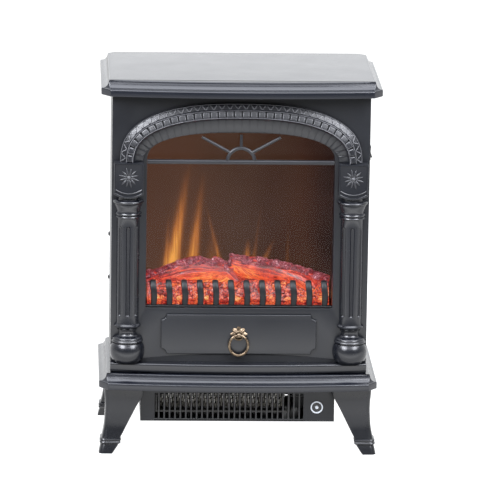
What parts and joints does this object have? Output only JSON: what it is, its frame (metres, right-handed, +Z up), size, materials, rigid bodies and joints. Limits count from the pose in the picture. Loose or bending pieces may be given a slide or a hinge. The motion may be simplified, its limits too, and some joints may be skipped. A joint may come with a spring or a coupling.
{
  "type": "electric stove heater",
  "caption": "Freestanding electric fireplace on four flared legs: arched window with glowing logs, turned columns, ash drawer with ring pull, fan heater below.",
  "frame": {"origin": "on the floor, under the middle of the stove's overall width and depth", "axes": "+Z up, -Y towards the viewer of the fire, +X to that viewer's right"},
  "size_m": [0.4, 0.264, 0.545],
  "materials": {
    "painted_board": "moulded board with satin charcoal paint",
    "painted_steel": "satin charcoal paint, fine texture",
    "leg_moulding": "satin charcoal paint on a moulded leg",
    "charcoal_moulding": "satin charcoal moulding",
    "firebox_steel": "matt soot black",
    "window_glass": "clear, slightly smoked",
    "ember_resin": "translucent moulded embers, lit from below",
    "flame_screen": "smoked diffusing screen with a flame glow",
    "antique_brass": "aged, brighter on the high spots",
    "plated_steel": "zinc plated sheet",
    "ribbon_wire": "resistance ribbon, dull grey",
    "mica_board": "pressed mica board",
    "rotor_foil": "bright foil blades",
    "circuit_board": "green laminate",
    "black_nylon": "satin black",
    "pale_badge": "pale printed disc, plain",
    "black_screw": "blackened"
  },
  "bodies": {
    "stove": {"arch_moulding": "charcoal_moulding", "base_plate": "painted_board", "blower_bearing": "black_nylon", "blower_motor": "plated_steel", "blower_scroll": "plated_steel", "cable_gland": "black_nylon", "drawer_runner_left": "plated_steel", "drawer_runner_right": "plated_steel", "fanlight_bars": "charcoal_moulding", "fire_grate": "charcoal_moulding", "firebox_floor": "firebox_steel", "firebox_roof": "firebox_steel", "firebox_side_left": "firebox_steel", "firebox_side_right": "firebox_steel", "flame_motor": "plated_steel", "flame_screen": "flame_screen", "front_frame": "charcoal_moulding", "front_left_leg": "leg_moulding", "front_right_leg": "leg_moulding", "heater_frame": "mica_board", "heater_housing": "painted_steel", "heating_ribbon": "ribbon_wire", "led_board": "circuit_board", "left_column": "charcoal_moulding", "left_side_panel": "painted_steel", "log_bed": "ember_resin", "outlet_grille": "firebox_steel", "power_board": "circuit_board", "rear_cover": "painted_steel", "rear_left_leg": "leg_moulding", "rear_right_leg": "leg_moulding", "rear_screw_lower_left": "black_screw", "rear_screw_lower_right": "black_screw", "rear_screw_upper_left": "black_screw", "rear_screw_upper_right": "black_screw", "right_column": "charcoal_moulding", "right_side_panel": "painted_steel", "rotor_bracket_left": "plated_steel", "rotor_bracket_right": "plated_steel", "round_badge": "pale_badge", "side_screw_lower": "black_screw", "side_screw_upper": "black_screw", "sill_moulding": "charcoal_moulding", "switch_housing_front": "black_nylon", "switch_housing_middle": "black_nylon", "switch_housing_rear": "black_nylon", "terminal_block": "black_nylon", "thermal_cutout": "black_nylon", "top_plate": "painted_board", "window_glass": "window_glass"},
    "ash_drawer": {"drawer_front": "charcoal_moulding", "drawer_tray": "plated_steel", "pull_backplate": "antique_brass"},
    "ring": {"pull_ring": "antique_brass"},
    "front_rocker": {"rocker_front": "black_nylon"},
    "middle_rocker": {"rocker_middle": "black_nylon"},
    "rear_rocker": {"rocker_rear": "black_nylon"},
    "rotor": {"flame_rotor": "rotor_foil"},
    "impeller": {"blower_wheel": "black_nylon"}
  },
  "joints": [
    {"name": "drawer_slide", "type": "slide", "parent": "stove", "child": "ash_drawer", "axis": [0, -1, 0], "range_m": [0, 0.085]},
    {"name": "ring_swing", "type": "hinge", "parent": "ash_drawer", "child": "ring", "pos_m": [0, -0.104, 0.173], "axis": [-1, 0, 0], "range_deg": [0, 120]},
    {"name": "front_switch", "type": "hinge", "parent": "stove", "child": "front_rocker", "pos_m": [0.1832, -0.06, 0.434], "axis": [0, 1, 0], "range_deg": [0, 16]},
    {"name": "middle_switch", "type": "hinge", "parent": "stove", "child": "middle_rocker", "pos_m": [0.1832, -0.039, 0.434], "axis": [0, 1, 0], "range_deg": [0, 16]},
    {"name": "rear_switch", "type": "hinge", "parent": "stove", "child": "rear_rocker", "pos_m": [0.1832, -0.018, 0.434], "axis": [0, 1, 0], "range_deg": [0, 16]},
    {"name": "rotor_spin", "type": "hinge", "parent": "stove", "child": "rotor", "pos_m": [0, 0.038, 0.238], "axis": [1, 0, 0], "continuous": true},
    {"name": "impeller_spin", "type": "hinge", "parent": "stove", "child": "impeller", "pos_m": [0, -0.025, 0.068], "axis": [1, 0, 0], "continuous": true}
  ]
}
